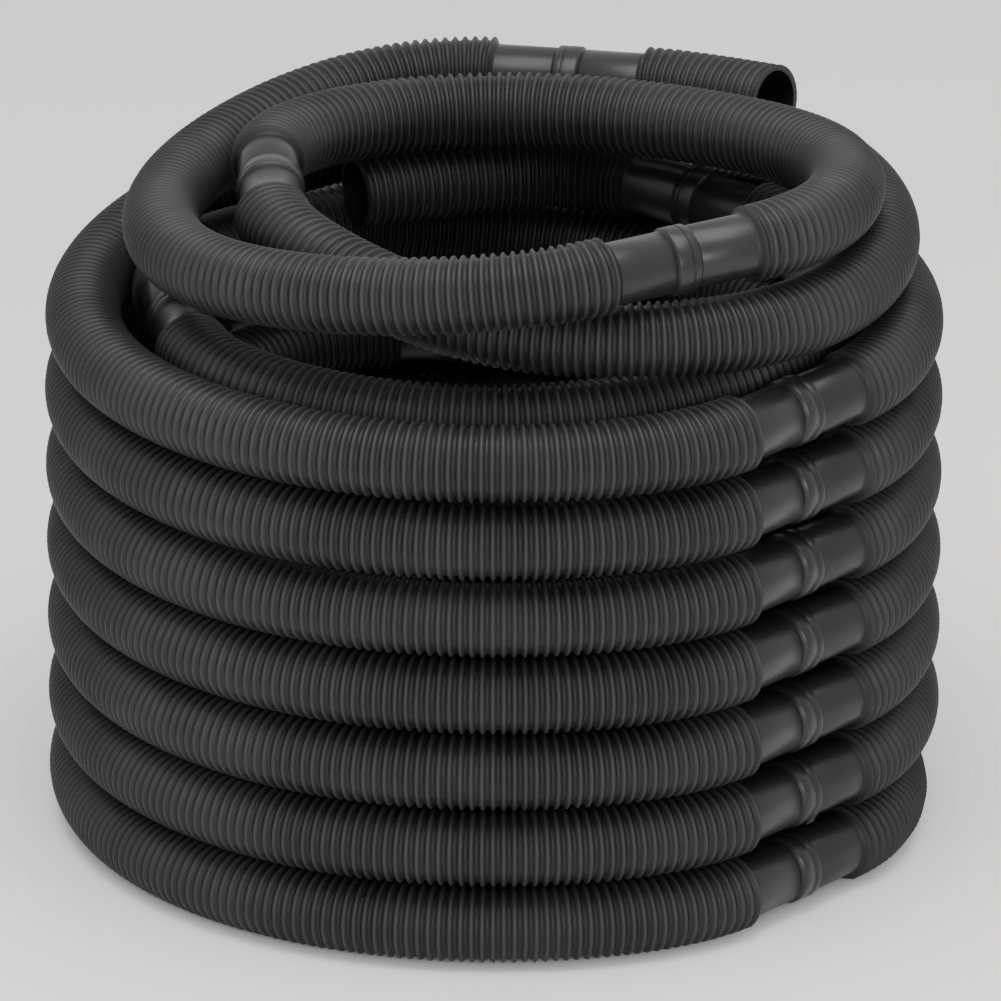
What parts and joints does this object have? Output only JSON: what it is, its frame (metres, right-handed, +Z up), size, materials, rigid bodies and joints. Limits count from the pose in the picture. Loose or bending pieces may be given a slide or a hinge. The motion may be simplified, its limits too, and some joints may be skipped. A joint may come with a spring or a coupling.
{
  "type": "vacuum hose",
  "caption": "Black corrugated pool vacuum hose with smooth moulded cuffs along it, coiled in two layers with loose loops laid on top and one free end.",
  "frame": {"origin": "on the ground under the middle of the coil", "axes": "+Z up along the coil's axis, +X to the right and -Y to the front, where the loops' cuff and the free end show"},
  "size_m": [0.5876, 0.5863, 0.4819],
  "materials": {
    "ridged_plastic": "satin",
    "smooth_plastic": "satin"
  },
  "bodies": {
    "root": {"cuff_01": "smooth_plastic", "cuff_02": "smooth_plastic", "cuff_03": "smooth_plastic", "cuff_04": "smooth_plastic", "cuff_05": "smooth_plastic", "cuff_06": "smooth_plastic", "cuff_07": "smooth_plastic", "cuff_08": "smooth_plastic", "cuff_09": "smooth_plastic", "cuff_10": "smooth_plastic", "cuff_11": "smooth_plastic", "cuff_12": "smooth_plastic", "cuff_13": "smooth_plastic", "cuff_14": "smooth_plastic", "cuff_15": "smooth_plastic", "cuff_16": "smooth_plastic", "cuff_17": "smooth_plastic", "cuff_18": "smooth_plastic", "cuff_19": "smooth_plastic", "cuff_20": "smooth_plastic", "cuff_21": "smooth_plastic", "cuff_22": "smooth_plastic", "cuff_23": "smooth_plastic", "cuff_24": "smooth_plastic", "cuff_25": "smooth_plastic", "cuff_26": "smooth_plastic", "cuff_27": "smooth_plastic", "hose_section_01": "ridged_plastic", "hose_section_02": "ridged_plastic", "hose_section_03": "ridged_plastic", "hose_section_04": "ridged_plastic", "hose_section_05": "ridged_plastic", "hose_section_06": "ridged_plastic", "hose_section_07": "ridged_plastic", "hose_section_08": "ridged_plastic", "hose_section_09": "ridged_plastic", "hose_section_10": "ridged_plastic", "hose_section_11": "ridged_plastic", "hose_section_12": "ridged_plastic", "hose_section_13": "ridged_plastic", "hose_section_14": "ridged_plastic", "hose_section_15": "ridged_plastic", "hose_section_16": "ridged_plastic", "hose_section_17": "ridged_plastic", "hose_section_18": "ridged_plastic", "hose_section_19": "ridged_plastic", "hose_section_20": "ridged_plastic", "hose_section_21": "ridged_plastic", "hose_section_22": "ridged_plastic", "hose_section_23": "ridged_plastic", "hose_section_24": "ridged_plastic", "hose_section_25": "ridged_plastic", "hose_section_26": "ridged_plastic", "inner_end": "ridged_plastic"},
    "free_end": {"free_end": "ridged_plastic"}
  },
  "joints": [
    {"name": "free_end_lift", "type": "hinge", "parent": "root", "child": "free_end", "pos_m": [0.10311, 0.20974, 0.45353], "axis": [-0.2526, -0.9676, 0], "range_deg": [0, 30], "stiffness_Nm_per_rad": 0.3}
  ]
}
